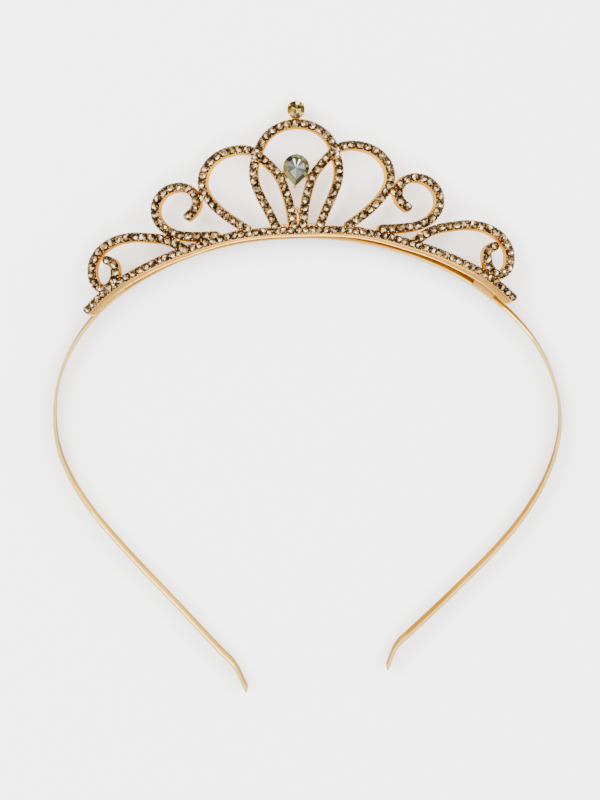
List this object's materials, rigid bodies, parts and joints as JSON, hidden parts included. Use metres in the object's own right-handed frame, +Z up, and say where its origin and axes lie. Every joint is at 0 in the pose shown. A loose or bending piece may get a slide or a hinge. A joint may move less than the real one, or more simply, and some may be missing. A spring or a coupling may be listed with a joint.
{
  "type": "tiara headband",
  "caption": "Mini crown headband: openwork tiara of stone-set gold rails with heart and scroll shapes, soldered to a thin gold headband.",
  "frame": {"origin": "middle of the outline in plan, on the plane that the headband's back edge rests on", "axes": "+Y from the headband's open end to the crown's top, +Z up from the resting plane towards the stones' faces, +X to the right of somebody who looks at the stones with the crown's top up"},
  "size_m": [0.1356, 0.1568, 0.0086],
  "materials": {
    "band_metal": "polished light gold plating",
    "frame_metal": "polished light gold plating",
    "small_stones": "clear foil-backed stones",
    "amber_stone": "foil-backed stone that shows its gold cup",
    "clear_stone": "clear foil-backed stone"
  },
  "bodies": {
    "root": {"headband": "band_metal", "crown_frame": "frame_metal", "stone_paving": "small_stones", "top_stone": "amber_stone", "pear_stone": "clear_stone"}
  },
  "joints": []
}
